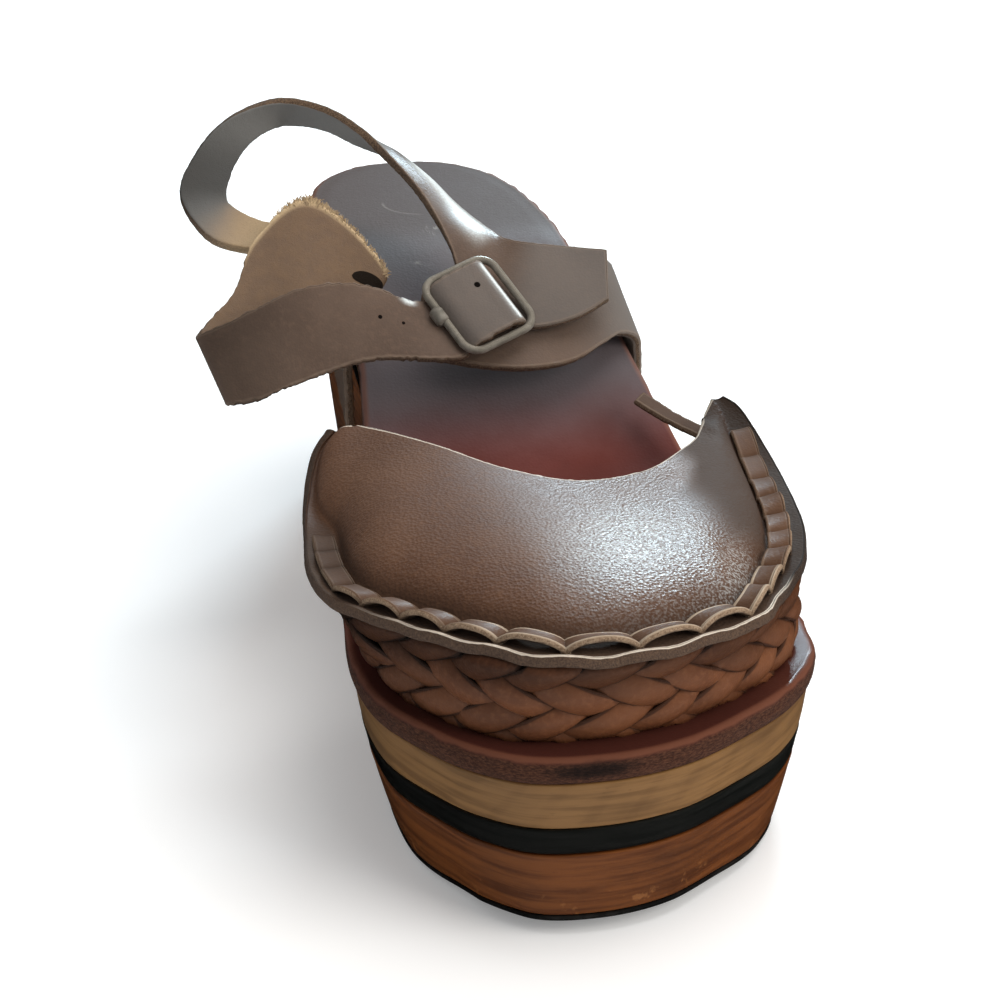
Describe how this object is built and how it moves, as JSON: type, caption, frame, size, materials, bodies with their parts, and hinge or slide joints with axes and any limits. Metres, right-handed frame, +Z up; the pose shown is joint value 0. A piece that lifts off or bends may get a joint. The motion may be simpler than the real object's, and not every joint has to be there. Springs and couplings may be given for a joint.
{
  "type": "platform clog sandal",
  "caption": "Left platform clog sandal: laminated wooden sole, leather insole, braided toe wall, laced leather vamp and a slack buckled ankle strap.",
  "frame": {"origin": "middle of the shoe's box on the floor plane", "axes": "toe to -Y, heel to +Y, outer side of the left foot to +X, up is +Z"},
  "size_m": [0.1232, 0.258, 0.1156],
  "materials": {
    "black_rubber": "matt thin tread",
    "brown_wood": "red-brown stain, worn varnish",
    "black_stripe": "black stained layer",
    "pale_wood": "golden varnished wood with slanted grain",
    "insole_leather": "oxblood, semi-gloss, raw dark edge",
    "braid_leather": "tan thongs, waxed",
    "vamp_leather": "smooth brown, satin",
    "strap_leather": "taupe brown, satin, raw edges",
    "buckle_bronze": "dark bronze, rubbed edges"
  },
  "bodies": {
    "root": {"outsole_forefoot": "black_rubber", "outsole_heel": "black_rubber", "platform_base": "brown_wood", "stripe_lamination": "black_stripe", "upper_lamination": "pale_wood", "insole": "insole_leather", "toe_braid": "braid_leather", "vamp": "vamp_leather", "vamp_thong": "braid_leather", "thong_tail": "braid_leather", "medial_quarter": "strap_leather", "lateral_quarter": "strap_leather", "ankle_strap": "strap_leather", "buckle_frame": "buckle_bronze", "buckle_prong": "buckle_bronze"}
  },
  "joints": []
}
